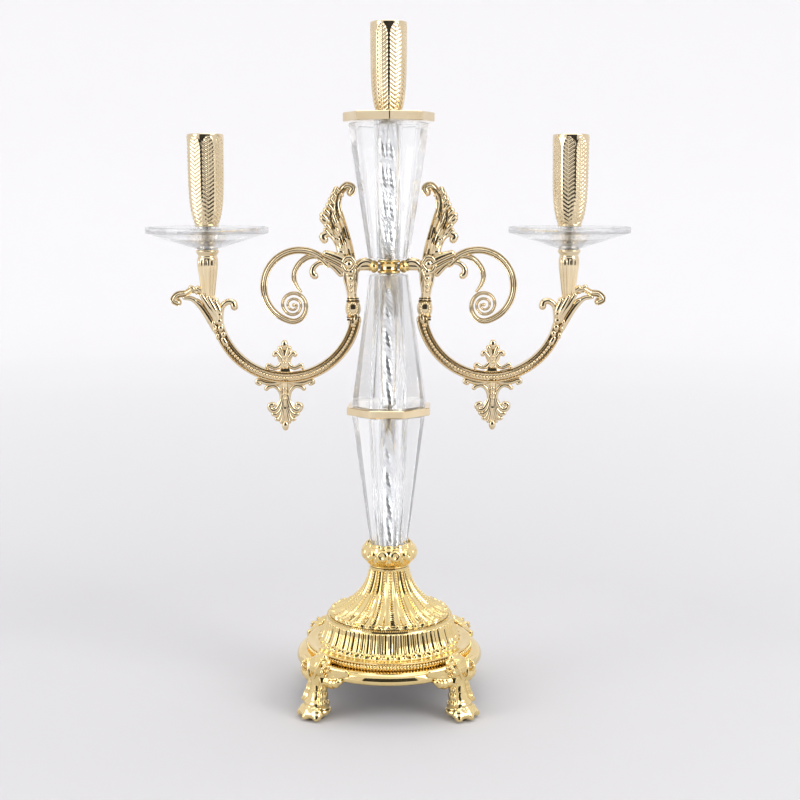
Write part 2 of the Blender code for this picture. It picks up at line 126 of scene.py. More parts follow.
def plated(name, light, deep, smooth, rough, ripple):
    """Polished plating: its colour and roughness drift a little, and it ripples like a cast surface."""

    def build(tree, shader):
        shader.inputs["Metallic"].default_value = 1.0
        drift = noise(tree, 60.0, 4.0)
        colour = blended(tree, ranged(tree, drift, 0.0, 1.0), light, deep)
        tree.links.new(colour, shader.inputs["Base Color"])
        grain = noise(tree, 900.0, 2.0)
        tree.links.new(ranged(tree, grain, smooth, rough), shader.inputs["Roughness"])
        bump(tree, shader, noise(tree, 260.0, 2.0), ripple, 0.0003)

    return node_material(name, build)


def clear_glass(name, tint, roughness, ior, cover):
    """Polished glass. cover is how much of the light behind it goes the bent way instead of straight on."""

    def build(tree, shader):
        shader.inputs["Base Color"].default_value = (*tint, 1)
        shader.inputs["Transmission Weight"].default_value = 1.0
        shader.inputs["IOR"].default_value = ior
        shader.inputs["Alpha"].default_value = cover
        smear = noise(tree, 35.0, 2.0)
        tree.links.new(ranged(tree, smear, 0.0, roughness), shader.inputs["Roughness"])

    return node_material(name, build)


def dull(name, dark, light, roughness, metallic, scale):
    """A rough surface with grains of two shades, this many a metre."""

    def build(tree, shader):
        shader.inputs["Metallic"].default_value = metallic
        grain = noise(tree, scale, 5.0)
        tree.links.new(blended(tree, ranged(tree, grain, 0, 1), dark, light), shader.inputs["Base Color"])
        tree.links.new(ranged(tree, grain, roughness, roughness + 0.15), shader.inputs["Roughness"])
        bump(tree, shader, grain, 0.3, 0.0002)

    return node_material(name, build)


MATERIALS = {
    "gold_pale": plated("pale_gold_plating", (0.80, 0.67, 0.455), (0.73, 0.59, 0.375), 0.04, 0.09, 0.05),
    "gold_rich": plated("yellow_gold_plating", (0.87, 0.69, 0.35), (0.80, 0.61, 0.27), 0.04, 0.09, 0.05),
    "crystal": clear_glass("crystal", (0.985, 0.995, 0.995), 0.012, 1.46, 0.78),
    "silver": plated("bright_silver", (0.95, 0.955, 0.97), (0.90, 0.91, 0.93), 0.14, 0.22, 0.08),
    "steel": plated("zinc_plated_steel", (0.56, 0.57, 0.58), (0.48, 0.49, 0.51), 0.20, 0.34, 0.10),
    "iron": dull("cast_iron_ballast", (0.05, 0.05, 0.05), (0.11, 0.11, 0.11), 0.6, 0.8, 400.0),
    "rubber": dull("dark_rubber", (0.012, 0.012, 0.012), (0.03, 0.03, 0.03), 0.6, 0.0, 900.0),
    "gasket": clear_glass("clear_soft_washer", (0.93, 0.94, 0.94), 0.15, 1.42, 0.8),
}


# --- mesh tools


class Shape:
    """Collects closed pieces as points and faces, in millimetres, and makes one mesh of them."""

    def __init__(self):
        self.points = []
        self.faces = []
        self.count = 0

    def add(self, points, faces):
        self.points.append(np.asarray(points, float))
        self.faces += [tuple(index + self.count for index in face) for face in faces]
        self.count += len(points)

    def bar(self, *args, **options):
        self.add(*sweep(*args, **options))

    def ball(self, *args):
        self.add(*ball(*args))

    def mesh(self, name, sharp=40):
        mesh = bpy.data.meshes.new(name)
        points = np.concatenate(self.points) * MM
        mesh.from_pydata([tuple(point) for point in points], [], self.faces)
        mesh.update()
        mesh.polygons.foreach_set("use_smooth", [True] * len(mesh.polygons))
        mesh.set_sharp_from_angle(angle=math.radians(sharp))
        return mesh


def linked(name, data):
    """A new object of this mesh, light or camera, in the scene."""
    item = bpy.data.objects.new(name, data)
    bpy.context.scene.collection.objects.link(item)
    return item


def with_modifiers(item):
    """The mesh that an object's modifiers make of it. The object itself is removed."""
    bpy.context.view_layer.update()
    evaluated = item.evaluated_get(bpy.context.evaluated_depsgraph_get())
    mesh = bpy.data.meshes.new_from_object(evaluated)
    mesh.materials.clear()
    bpy.data.objects.remove(item)
    return mesh


def add_piece(name, mesh, body, slot, *replaced, turn=0.0, place=(0, 0, 0)):
    """A visible piece that rides on a body and replaces CAD nodes. place is in millimetres."""
    piece = linked(name, mesh)
    piece.rotation_euler.z = turn
    piece.location = Vector(place) * MM
    if not mesh.materials:
        mesh.materials.append(MATERIALS[slot])
    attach(piece, body)
    if replaced:
        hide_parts(*replaced)


def mirrored(mesh):
    """The mesh's mirror image in X, facing out."""
    copy = mesh.copy()
    copy.transform(Matrix.Scale(-1, 4, (1, 0, 0)))
    copy.flip_normals()
    return copy


SPAN_STEPS = 24  # between two points of a curve
STRAIGHT_POINTS = 50


def smooth_line(points, step):
    """A Catmull-Rom curve through the points, read at even steps along its length."""
    points = np.asarray(points, float)
    if len(points) == 2:
        fine = np.linspace(points[0], points[1], STRAIGHT_POINTS)
    else:
        ends = np.vstack([2 * points[0] - points[1], points, 2 * points[-1] - points[-2]])
        t = np.linspace(0, 1, SPAN_STEPS, endpoint=False)[:, None]
        spans = []
        for a, b, c, d in zip(ends, ends[1:], ends[2:], ends[3:]):
            square = (2 * a - 5 * b + 4 * c - d) * t**2
            cube = (3 * b - a - 3 * c + d) * t**3
            spans.append(0.5 * (2 * b + (c - a) * t + square + cube))
        fine = np.vstack([*spans, points[-1:]])
    along = np.concatenate([[0], np.cumsum(np.linalg.norm(np.diff(fine, axis=0), axis=1))])
    count = max(2, int(round(along[-1] / step)) + 1)
    even = np.linspace(0, along[-1], count)
    return np.stack([np.interp(even, along, fine[:, axis]) for axis in range(fine.shape[1])], axis=1)


def profile_of(runs, step):
    """A profile from several runs: corners stay sharp where one run ends and the next starts."""
    lines = [smooth_line(run, step) for run in runs]
    return np.vstack([lines[0]] + [line[1:] for line in lines[1:]])


def down_from(top, *points):
    """Points of a profile from pairs of a radius and a drop below the top."""
    return [(radius, top - drop) for radius, drop in points]


def ring_faces(rows, columns, wrap_rows):
    """The faces of a tube of points, closed by flat ends or by joining its last row to its first."""
    faces = []
    for row in range(rows if wrap_rows else rows - 1):
        here = row * columns
        below = (row + 1) % rows * columns
        for column in range(columns):
            after = (column + 1) % columns
            faces.append((here + column, below + column, below + after, here + after))
    if not wrap_rows:
        faces.append(tuple(range(columns)))
        faces.append(tuple(reversed(range((rows - 1) * columns, rows * columns))))
    return faces


def turned(outside, inside=(), relief=None, columns=96):
    """A turned solid whose outside runs from top to bottom. inside closes a ring; without it the ends are
    filled flat. relief(theta, along, radius, height) lifts the outside along its normal, in millimetres."""
    outside = np.asarray(outside, float)
    slope = np.gradient(outside, axis=0)
    normal = np.stack([-slope[:, 1], slope[:, 0]], axis=1)
    normal /= np.maximum(np.linalg.norm(normal, axis=1, keepdims=True), 1e-9)
    along = np.concatenate([[0], np.cumsum(np.linalg.norm(np.diff(outside, axis=0), axis=1))])
    theta = np.arange(columns) * TAU / columns
    radius = np.repeat(outside[:, :1], columns, axis=1)
    height = np.repeat(outside[:, 1:], columns, axis=1)
    if relief is not None:
        lift = relief(theta[None, :], along[:, None], outside[:, :1], outside[:, 1:])
        radius = radius + lift * normal[:, :1]
        height = height + lift * normal[:, 1:]
    if len(inside):
        inner = np.asarray(inside, float)
        radius = np.vstack([radius, np.repeat(inner[:, :1], columns, axis=1)])
        height = np.vstack([height, np.repeat(inner[:, 1:], columns, axis=1)])
    points = np.stack([radius * np.cos(theta), radius * np.sin(theta), height], axis=-1).reshape(-1, 3)
    return points, ring_faces(len(radius), columns, bool(len(inside)))


def turned_mesh(name, *args, sharp=40, **options):
    """The mesh of one turned solid. Edges of more than sharp degrees stay sharp."""
    shape = Shape()
    shape.add(*turned(*args, **options))
    return shape.mesh(name, sharp)


def smooth_step(value):
    """From 0 to 1 with soft ends, as the value goes from 0 to 1."""
    value = np.clip(value, 0, 1)
    return value * value * (3 - 2 * value)


def whole_section(*quarter):
    """A closed section from its first quarter, (across, depth) points from the edge to the middle."""
    half = np.array([*quarter, *((-across, depth) for across, depth in reversed(quarter) if across)], float)
    return np.vstack([half, -half])


ROUND_ANGLES = np.arange(10) * TAU / 10
ROUND = np.stack([np.cos(ROUND_ANGLES), np.sin(ROUND_ANGLES)], axis=1)
CHANNEL = whole_section((1, 0.35), (0.95, 0.7), (0.84, 0.96), (0.7, 1.0), (0.58, 0.82), (0.5, 0.55))
MOULDING = whole_section(
    (1, 0.2), (0.97, 0.55), (0.85, 0.78), (0.7, 0.72), (0.6, 0.5), (0.42, 0.78), (0.2, 0.96), (0, 1.0)
)
CAP_ROWS = 3  # the rows that round off a bar's end, at 30, 60 and 90 degrees
CAP_TIP = 0.08  # the last row's size, as a share of the bar's


def averaged(values, span):
    """The values smoothed over this odd number of neighbours."""
    return np.convolve(np.pad(values, span // 2, mode="edge"), np.ones(span) / span, mode="valid")


def lengthened(rows, cap, at_start):
    """The rows with those of a cap beyond one end. The cap runs outwards."""
    return np.concatenate([cap[::-1], rows] if at_start else [rows, cap])


def sweep(route, sizes, section=ROUND, depth=1.0, step=0.9, sideways=None, round_ends=True):
    """A bar along a route of (across, height) points in the arm's plane. sizes are half-widths read along
    it, depth is the half-thickness as a share of them, and sideways shifts it out of the plane."""
    line = smooth_line(route, step)
    share = np.linspace(0, 1, len(line))
    width = averaged(np.interp(share, np.linspace(0, 1, len(sizes)), sizes), 5)
    shift = np.zeros(len(line))
    if sideways is not None:
        shift = np.interp(share, np.linspace(0, 1, len(sideways)), sideways)
    tangent = np.gradient(line, axis=0)
    tangent /= np.linalg.norm(tangent, axis=1, keepdims=True)
    if round_ends:
        turn = np.arange(1, CAP_ROWS + 1) * math.pi / (2 * CAP_ROWS)
        for end, outwards in ((0, -1), (-1, 1)):
            cap = line[end] + outwards * tangent[end] * (np.sin(turn) * width[end])[:, None]
            line = lengthened(line, cap, end == 0)
            width = lengthened(width, width[end] * np.cos(turn).clip(CAP_TIP), end == 0)
            tangent = lengthened(tangent, np.repeat(tangent[[end]], CAP_ROWS, axis=0), end == 0)
            shift = lengthened(shift, np.full(CAP_ROWS, shift[end]), end == 0)
    across = np.stack([tangent[:, 1], -tangent[:, 0]], axis=1)
    offset = width[:, None] * section[None, :, 0]
    x = line[:, :1] + across[:, :1] * offset
    z = line[:, 1:] + across[:, 1:] * offset
    y = width[:, None] * depth * section[None, :, 1] + shift[:, None]
    points = np.stack([x, y, z], axis=-1).reshape(-1, 3)
    return points, ring_faces(len(line), len(section), False)


def ball(centre, radii, rings, sides):
    """An ellipsoid."""
    x, y, z = centre
    points = [(x, y, z + radii[2])]
    for ring in range(1, rings):
        tilt = math.pi * ring / rings
        for side in range(sides):
            angle = TAU * side / sides
            out_x = radii[0] * math.sin(tilt) * math.cos(angle)
            out_y = radii[1] * math.sin(tilt) * math.sin(angle)
            points.append((x + out_x, y + out_y, z + radii[2] * math.cos(tilt)))
    points.append((x, y, z - radii[2]))
    last = len(points) - 1
    faces = []
    for side in range(sides):
        after = (side + 1) % sides
        faces.append((0, 1 + side, 1 + after))
        for ring in range(rings - 2):
            top = 1 + ring * sides
            faces.append((top + side, top + sides + side, top + sides + after, top + after))
        base = 1 + (rings - 2) * sides
        faces.append((base + side, last, base + after))
    return points, faces


def bead_ring(shape, count, radius, height, size, rings=4, sides=6):
    """A level ring of beads round the column."""
    for index in range(count):
        angle = TAU * index / count
        centre = (radius * math.cos(angle), radius * math.sin(angle), height)
        shape.ball(centre, size, rings, sides)


def arc(centre, radius, start, end, count):
    """Points round a centre, from one angle to another in degrees."""
    angle = np.radians(start + (end - start) * np.linspace(0, 1, count))
    return np.stack([centre[0] + radius * np.cos(angle), centre[1] + radius * np.sin(angle)], axis=1)


# --- base

FLUTES = 40  # round the bell, and as many leaves round the drum
BAND_BEADS = 160
EDGE_BEADS = 180
BELL_TOP = high("base_bell")
BELL_LOW = low("base_bell")
DRUM_TOP = high("base_drum")
DRUM_LOW = low("base_drum")
COLLAR_TOP = high("neck_collar")
COLLAR_LOW = low("neck_collar")

BELL_RUNS = [
    down_from(BELL_TOP, (15.9, 0), (16.6, 3.5), (18.6, 10.5), (22.2, 18.0), (27.4, 24.2))
    + down_from(BELL_TOP, (36.2, 32.0), (46.0, 36.6)),
    down_from(BELL_TOP, (46.0, 36.6), (47.8, 36.3), (49.2, 37.6)) + [(49.3, BELL_LOW)],
]
BELL_INSIDE = [(45.0, BELL_LOW)]
BELL_INSIDE += down_from(BELL_TOP, (34, 35.8), (23, 27.6), (17, 19.2), (13, 9.2), (5, 3), (5, 0))
FLUTE_LENGTH = 57.0  # along the profile, from its top
LADDER_PITCH = 2.2

LEAF_TOP = DRUM_TOP - 2.4  # the gadroon's upright leaves run between these heights
LEAF_TIP = DRUM_TOP - 21.2
LEAF_RADIUS = 62  # and inside this
BAND_Z = DRUM_TOP - 24.4  # the middle of the bead band
BAND_RADIUS = 66.4
DRUM_RUNS = [
    down_from(DRUM_TOP, (48.6, 0), (50.6, 0)),
    [(50.6, DRUM_TOP), (51.2, LEAF_TOP)],
    [(51.2, LEAF_TOP)] + down_from(DRUM_TOP, (52.5, 8.2), (54.5, 14.2), (57.0, 19.2), (59.2, 21.5)),
    down_from(DRUM_TOP, (59.2, 21.5), (62.0, 21.8), (66.2, 21.3)),
    down_from(DRUM_TOP, (66.2, 21.3), (67.6, 21.8), (67.3, 22.6)) + [(BAND_RADIUS, BAND_Z + 1.6)],
    [(BAND_RADIUS, BAND_Z + 1.6), (BAND_RADIUS, BAND_Z - 1.8)],
    down_from(BAND_Z, (BAND_RADIUS, 1.8), (67.2, 2.6), (68.6, 2.8)),
    [(68.6, BAND_Z - 2.8), (72.0, 40.8), (74.8, 38.8), (76.2, 35.8), (76.0, 33.2), (74.6, DRUM_LOW + 0.6)],
    [(74.6, DRUM_LOW + 0.6), (73.4, DRUM_LOW)],
]
DRUM_INSIDE = [(70.4, DRUM_LOW), (71.4, 35.0), (70.0, 37.6), (63.9, 39.4), (63.9, 44.6), (56.4, 45.4)]
DRUM_INSIDE += [(51.2, 55.0), (48.0, 64.8)]
CAST_STEP = 0.45  # along the profiles of bell and drum


def flute_relief(theta, along, radius, height):
    """Concave flutes that end in scallops above the plain edge ring; every other one has a ladder of ribs."""
    phase = theta * FLUTES / TAU
    wave = 0.5 - 0.5 * np.cos(TAU * phase)
    spacing = TAU * radius / FLUTES
    deep = np.clip(0.26 * spacing, 0.4, 1.35)
    end = FLUTE_LENGTH - 1.6 * (1 - wave)
    window = smooth_step((end - along) / 1.6) * smooth_step((along - 0.6) / 1.2)
    ladder = 0.5 + 0.5 * np.sin(TAU * along / LADDER_PITCH)
    ribbed = (np.floor(phase) % 2 == 0) * smooth_step((wave - 0.2) / 0.3)
    return window * (-deep * wave**0.6 + ribbed * ladder * np.clip(0.28 * spacing, 0.5, 1.1))


def gadroon_relief(theta, along, radius, height):
    """Upright leaves with rounded, curled tips, with darts between them and veins down each."""
    phase = theta * FLUTES / TAU
    wave = np.abs(np.cos(math.pi * phase))
    dart = np.abs(np.sin(math.pi * phase))
    leaf_end = LEAF_TIP + 4.0 * (1 - wave**0.8)
    dart_end = LEAF_TIP + 4.6 * (1 - dart**4)
    start = smooth_step(LEAF_TOP - height) * (radius < LEAF_RADIUS)
    leaf = smooth_step((height - leaf_end) / 1.2) * wave**0.5
    vein = 0.34 * np.cos(3 * TAU * phase) * smooth_step((height - leaf_end - 1.2) / 1.5)
    tip = smooth_step(height - dart_end) * (dart > 0.93) * 0.8
    curl = 0.6 * np.exp(-(((height - leaf_end - 1.1) / 0.9) ** 2)) * wave
    return start * (1.3 * leaf + vein * leaf + tip + curl - 0.5 * (height > LEAF_TIP + 3))


def make_drum():
    line = profile_of(DRUM_RUNS, CAST_STEP)
    drum = turned_mesh("base_drum_cast", line, DRUM_INSIDE, gadroon_relief, columns=FLUTES * 16, sharp=50)
    add_piece("base_drum_cast", drum, "stand", "gold_rich", "base_drum", turn=BASE_TURN)
    beads = Shape()
    bead_ring(beads, BAND_BEADS, BAND_RADIUS + 0.9, BAND_Z - 0.1, (1.35, 1.35, 1.6), 6, 8)
    bead_ring(beads, EDGE_BEADS, 50.6, DRUM_TOP - 0.6, (0.85, 0.85, 0.85))
    add_piece("base_drum_beads", beads.mesh("base_drum_beads"), "stand", "gold_rich", turn=BASE_TURN)


def make_bell():
    line = profile_of(BELL_RUNS, CAST_STEP)
    bell = turned_mesh("base_bell_fluted", line, BELL_INSIDE, flute_relief, columns=FLUTES * 12, sharp=50)
    add_piece("base_bell_fluted", bell, "stand", "gold_rich", "base_bell", turn=BASE_TURN)


KNOP_LOBES = 12
KNOP_EYE_Z = COLLAR_TOP - 7.9


def knop_relief(theta, along, radius, height):
    """Twelve round lobes, each with an eye pressed into it. Between them sit petals above and darts below."""
    phase = theta * KNOP_LOBES / TAU
    local = ((phase % 1) - 0.5) * TAU * radius / KNOP_LOBES
    away = np.hypot(local, height - KNOP_EYE_Z)
    lobe = np.sqrt(np.clip(1 - (away / 5.4) ** 2, 0, 1))
    eye = np.exp(-((away / 1.7) ** 2))
    aside = (((phase + 0.5) % 1) - 0.5) * TAU * radius / KNOP_LOBES
    petal = np.sqrt(np.clip(1 - (aside / 3.6) ** 2 - ((height - KNOP_EYE_Z - 4.6) / 4.6) ** 2, 0, 1))
    dart = np.sqrt(np.clip(1 - (aside / 2.4) ** 2 - ((height - KNOP_EYE_Z + 5.4) / 4.2) ** 2, 0, 1))
    return np.maximum(2.4 * lobe - 1.9 * eye, np.maximum(1.3 * petal, 1.1 * dart))


def make_knop():
    runs = [
        down_from(COLLAR_TOP, (17.5, 0.3), (18.1, 0.5), (18.3, 1.8), (19.2, 3.2)),
        down_from(COLLAR_TOP, (19.2, 3.2), (20.4, 5.4), (21.2, 8.6), (20.4, 12.6), (18.2, 16), (16, 17.8)),
        down_from(COLLAR_TOP, (16.0, 17.8), (16.9, 18.6)) + [(15.9, COLLAR_LOW)],
    ]
    seat = low("gasket_lower_low") - SKIN
    inside = [(ROD_BORE, COLLAR_LOW), (ROD_BORE, seat), (17.2, seat), (17.2, COLLAR_TOP - 0.3)]
    line = profile_of(runs, 0.35)
    knop = turned_mesh("neck_collar_leafed", line, inside, knop_relief, columns=KNOP_LOBES * 36, sharp=60)
    add_piece("neck_collar_leafed", knop, "stand", "gold_rich", "neck_collar", turn=BASE_TURN)


# --- feet

FOOT_FLOOR = high("foot_pad_front_left") + 0.25  # the paw's sole, just clear of its pad
FOOT_VOXEL = 0.55  # the cell size of the remesh
SMOOTH_ROUNDS = 6
SHOULDER_RADIUS = 77.6  # from the column to the leaf on the drum's rim
LOBE_RADIUS = 77.4


def foot_shape():
    """A lion's paw under a leafed shoulder, at +X, as overlapping pieces that a remesh then joins."""
    shape = Shape()
    for centre, radii in (
        ((77.6, 0, 40.6), (7.4, 11.6, 8.6)),
        ((77.0, 0, 32.6), (6.6, 9.6, 6.6)),
        ((77.2, 0, 25.0), (5.6, 6.8, 7.5)),
        ((78.5, 0, 18.0), (7.6, 8.8, 7.0)),
        ((80.0, 0, 11.8), (9.6, 11.2, 6.0)),
        ((80.0, 0, 6.4), (11.0, 12.6, 5.2)),
        ((85.0, 0, 5.4), (8.6, 12.6, 4.8)),
        ((73.6, 0, 45.4), (4.4, 7.4, 5.0)),
    ):
        shape.ball(centre, radii, 14, 24)
    add_toes(shape)
    add_leg_leaf(shape)
    for side in (-1, 1):
        add_rosette(shape, side)
        add_shoulder_leaf(shape, side)
    return shape


def add_toes(shape):
    """Three broad toes with rounded, downturned tips."""
    for angle in (-40, 0, 40):
        ahead, aside = math.cos(math.radians(angle)), math.sin(math.radians(angle))
        for reach, height, size in ((6.0, 9.4, 5.0), (9.4, 6.6, 5.2), (12.0, 4.4, 4.2), (14.2, 3.4, 2.6)):
            centre = (78.5 + reach * ahead, 1.08 * reach * aside, height)
            shape.ball(centre, (size, 1.05 * size, 0.9 * size), 12, 16)


def add_leg_leaf(shape):
    """The calyx round the leg: a smooth panel in front between edges that flare to the paw in scallops."""
    for share in np.linspace(0, 1, 34):
        height = 33.0 - 19.5 * share
        scallop = 1.2 * abs(math.sin(3.5 * math.pi * share)) ** 0.7
        aside = 5.6 + 4.2 * share**1.3 + scallop
        reach = 81.0 + 4.6 * share**1.5
        for side in (-1, 1):
            shape.ball((reach, side * aside, height), (1.5, 1.3, 1.3), 6, 8)
            shape.ball((reach - 3.4, side * (aside - 1.6), height), (4.2, 2.7, 2.4), 8, 10)
        shape.ball((reach - 0.4, 0, height - 0.5), (3.0, 0.6 * aside, 1.9), 8, 14)
    for share in np.linspace(0, 1, 16):
        for side in (-1, 1):
            spot = (85.2 - 3.2 * share**2, side * (2.6 + 4.4 * share), 34.0 + 13.0 * share)
            shape.ball(spot, (1.3, 1.3, 1.3), 6, 8)


def add_rosette(shape, side):
    """The small flower on the side of the knee."""
    centre = Vector((81.0, side * 11.4, 40.5))
    for petal in range(8):
        angle = TAU * petal / 8
        spot = centre + Vector((3.9 * math.cos(angle), 0, 3.9 * math.sin(angle)))
        shape.ball(spot, (1.6, 1.8, 1.6), 8, 10)
    shape.ball(centre + Vector((0, side * 1.2, 0)), (1.6, 1.7, 1.6), 8, 10)


def add_shoulder_leaf(shape, side):
    """A grooved leaf that sweeps from the rosette along the drum's rim, with round lobes under it."""
    for rise, size in ((4.0, 2.3), (0.2, 2.8), (-3.8, 2.6)):
        for share in np.linspace(0, 1, 22):
            aside = 9.0 + 17.0 * share
            height = 38.5 + rise * (1 - 0.6 * share) + 1.5 * share**2
            reach = math.sqrt(SHOULDER_RADIUS**2 - aside**2) - 1.6 * share
            shape.ball((reach, side * aside, height), (2.4, 2.0, size * (1 - 0.35 * share)), 8, 10)
    for aside, height, size in ((9.5, 30.4, 4.4), (13.6, 30.0, 4.6), (17.6, 30.8, 4.0), (20.8, 32.6, 2.8)):
        reach = math.sqrt(LOBE_RADIUS**2 - aside**2)
        shape.ball((reach, side * aside, height), (4.0, size, size), 12, 16)
    for aside, height, size in ((7.4, 44.8, 2.4), (3.4, 48.2, 2.2)):
        shape.ball((74.0, side * aside, height), (2.4, size, 3.0), 8, 10)


def make_feet():
    rough = linked("rough_foot", foot_shape().mesh("rough_foot"))
    remesh = rough.modifiers.new("remesh", "REMESH")
    remesh.mode = "VOXEL"
    remesh.voxel_size = FOOT_VOXEL * MM
    relax = rough.modifiers.new("relax", "SMOOTH")
    relax.factor = 0.5
    relax.iterations = SMOOTH_ROUNDS
    cast = with_modifiers(rough)
    for vertex in cast.vertices:
        vertex.co.z = max(vertex.co.z, FOOT_FLOOR * MM)
    cast.polygons.foreach_set("use_smooth", [True] * len(cast.polygons))
    for name, angle in FOOT_ANGLES.items():
        turn = math.radians(angle) + BASE_TURN
        add_piece("foot_cast_" + name, cast.copy(), "stand", "gold_rich", "foot_" + name, turn=turn)


# --- column

TWIST_PITCH = 18.7
TWIST_RADIUS = 6.3
BORE_RADIUS = 7.8  # of the crystals
CRYSTAL_EDGE = 0.45  # how much is ground off each edge


def corner_radius(corners, level):
    """How far the corners at this height are from the column's axis."""
    return max(math.hypot(corner.x, corner.y) / MM for corner in corners if abs(corner.z / MM - level) < 0.01)


def cut_crystal(name, vertex_forward):
    """An eight-sided frustum with polished, slightly eased edges and a smooth round bore."""
    node = "glass_" + name
    corners = [vertex.co for vertex in frame["nodes"][node].data.vertices]
    bottom = min(corner.z / MM for corner in corners)
    top = max(corner.z / MM for corner in corners)
    turn = 0 if vertex_forward else math.pi / 8
    shape = bmesh.new()
    bmesh.ops.create_cone(
        shape,
        cap_ends=True,
        segments=8,
        radius1=corner_radius(corners, bottom),
        radius2=corner_radius(corners, top),
        depth=top - bottom,
        matrix=Matrix.Translation((0, 0, (top + bottom) / 2)) @ Matrix.Rotation(turn, 4, "Z"),
    )
    bmesh.ops.bevel(shape, geom=shape.edges[:], offset=CRYSTAL_EDGE, segments=1, affect="EDGES")
    shape.transform(Matrix.Scale(MM, 4))
    mesh = bpy.data.meshes.new(node + "_cut")
    shape.to_mesh(mesh)
    shape.free()
    wall = [(BORE_RADIUS, top + 4), (BORE_RADIUS, bottom - 4)]
    cutter = linked("bore", turned_mesh("bore", wall, columns=64))
    block = linked("block", mesh)
    cut = block.modifiers.new("bore", "BOOLEAN")
    cut.operation = "DIFFERENCE"
    cut.object = cutter
    mesh = with_modifiers(block)
    bpy.data.objects.remove(cutter)
    for polygon in mesh.polygons:
        in_bore = math.hypot(polygon.center.x, polygon.center.y) < (BORE_RADIUS + 0.2) * MM
        polygon.use_smooth = in_bore and abs(polygon.normal.z) < 0.5
    add_piece(node + "_cut", mesh, "stand", "crystal", node, turn=STACK_TURN)


def twist_relief(theta, along, radius, height):
    """Two round, finely ridged strands that wind about each other."""
    phase = theta + math.pi * height / TWIST_PITCH
    return -1.7 + 1.7 * np.abs(np.cos(phase)) ** 0.8 + 0.10 * np.cos(10 * phase)


def make_sleeve(name):
    node = "twist_sleeve_" + name
    outside = smooth_line([(TWIST_RADIUS, high(node)), (TWIST_RADIUS, low(node))], 0.6)
    inside = [(ROD_BORE, low(node)), (ROD_BORE, high(node))]
    mesh = turned_mesh(node + "_rope", outside, inside, twist_relief, columns=56, sharp=60)
    add_piece(node + "_rope", mesh, "stand", "silver", node)


FINE_STEP = 0.3  # along the small profiles at the arms' roots


def make_hub():
    """A spool with a rounded flange at each end."""
    top, bottom = high("arm_hub"), low("arm_hub")
    runs = [
        down_from(top, (8.2, 0), (9.0, 0.5), (9.0, 1.6), (8.3, 2.1)),
        down_from(top, (8.3, 2.1), (7.0, 3.0)) + [(6.5, HUB_Z)] + down_from(bottom, (7.0, -3.0), (8.3, -2.1)),
        down_from(bottom, (8.3, -2.1), (9.0, -1.6), (9.0, -0.5), (8.2, 0)),
    ]
    line = profile_of(runs, FINE_STEP)
    mesh = turned_mesh("arm_hub_spool", line, [(ROD_BORE, bottom), (ROD_BORE, top)], columns=72)
    add_piece("arm_hub_spool", mesh, "arm_frame", "gold_rich", "arm_hub")


BEAD_IN_HUB = 0.8  # how far the bead reaches past the CAD ring, to the hub
BEAD_IN_ARM = 1.4  # and into the arm's root
BOLT_BORE = 2.3


def make_arm_collars():
    """The round bead between the hub and each arm's root."""
    for word, side in SIDES.items():
        node = "arm_collar_" + word
        near, far = sorted((abs(low(node, 0)), abs(high(node, 0))))
        near -= BEAD_IN_HUB
        far += BEAD_IN_ARM
        bead = down_from(far, (3.3, 0), (4, 0.7), (3.6, 1.5), (4.6, 2.4), (5.2, 4.2), (4.6, 6), (3.5, 7))
        line = smooth_line(bead + [(3.4, near)], FINE_STEP)
        mesh = turned_mesh(node + "_bead", line, [(BOLT_BORE, near), (BOLT_BORE, far)], columns=40)
        mesh.transform(Matrix.Rotation(side * math.pi / 2, 4, "Y"))
        mesh.transform(Matrix.Translation((0, 0, HUB_Z * MM)))
        add_piece(node + "_bead", mesh, "arm_frame", "gold_rich", node)


# --- cups and dishes

PANELS = 8
CUP_HEIGHT = high("candle_cup_center") - low("candle_cup_center")
CHEVRON_PITCH = 3.2
CUP_TURN = 0.15  # the side cups' panels face slightly out of line with the arms
SOCKET_RADIUS = 11.6
SOCKET_FLOOR = 24.5  # above the cup's foot
STUD_BORE = 6.4
STUD_HOLE = 9  # its depth
AXIS = 0.05  # a radius too small to see, where a solid's floor meets its axis
THREAD_PITCH = 1.25
THREAD_RADIUS = 4.0


def lancet_relief(theta, along, radius, height):
    """Lancet panels with herringbone ribs that rise from a midrib, between plain rounded borders."""
    local = ((theta * PANELS / TAU) % 1) * 2 - 1
    side = np.abs(local)
    arch = np.clip((height - (CUP_HEIGHT - 11.0)) / 9.0, 0, 1)
    width = 0.86 * np.sqrt(1 - arch**1.7) * smooth_step((height - 1.6) / 2.0)
    inside = smooth_step((width - side) / 0.12) * (height > 1.6) * (height < CUP_HEIGHT - 1.2)
    half = math.pi * radius / PANELS
    phase = (height - 0.75 * side * half) / CHEVRON_PITCH
    rib = 0.5 + 0.5 * np.cos(TAU * phase)
    midrib = np.exp(-((side / 0.07) ** 2))
    border = np.exp(-(((side - width) / 0.09) ** 2)) * (arch < 1)
    return inside * (-0.55 + 0.55 * rib**0.8 + 0.3 * midrib) + 0.22 * border


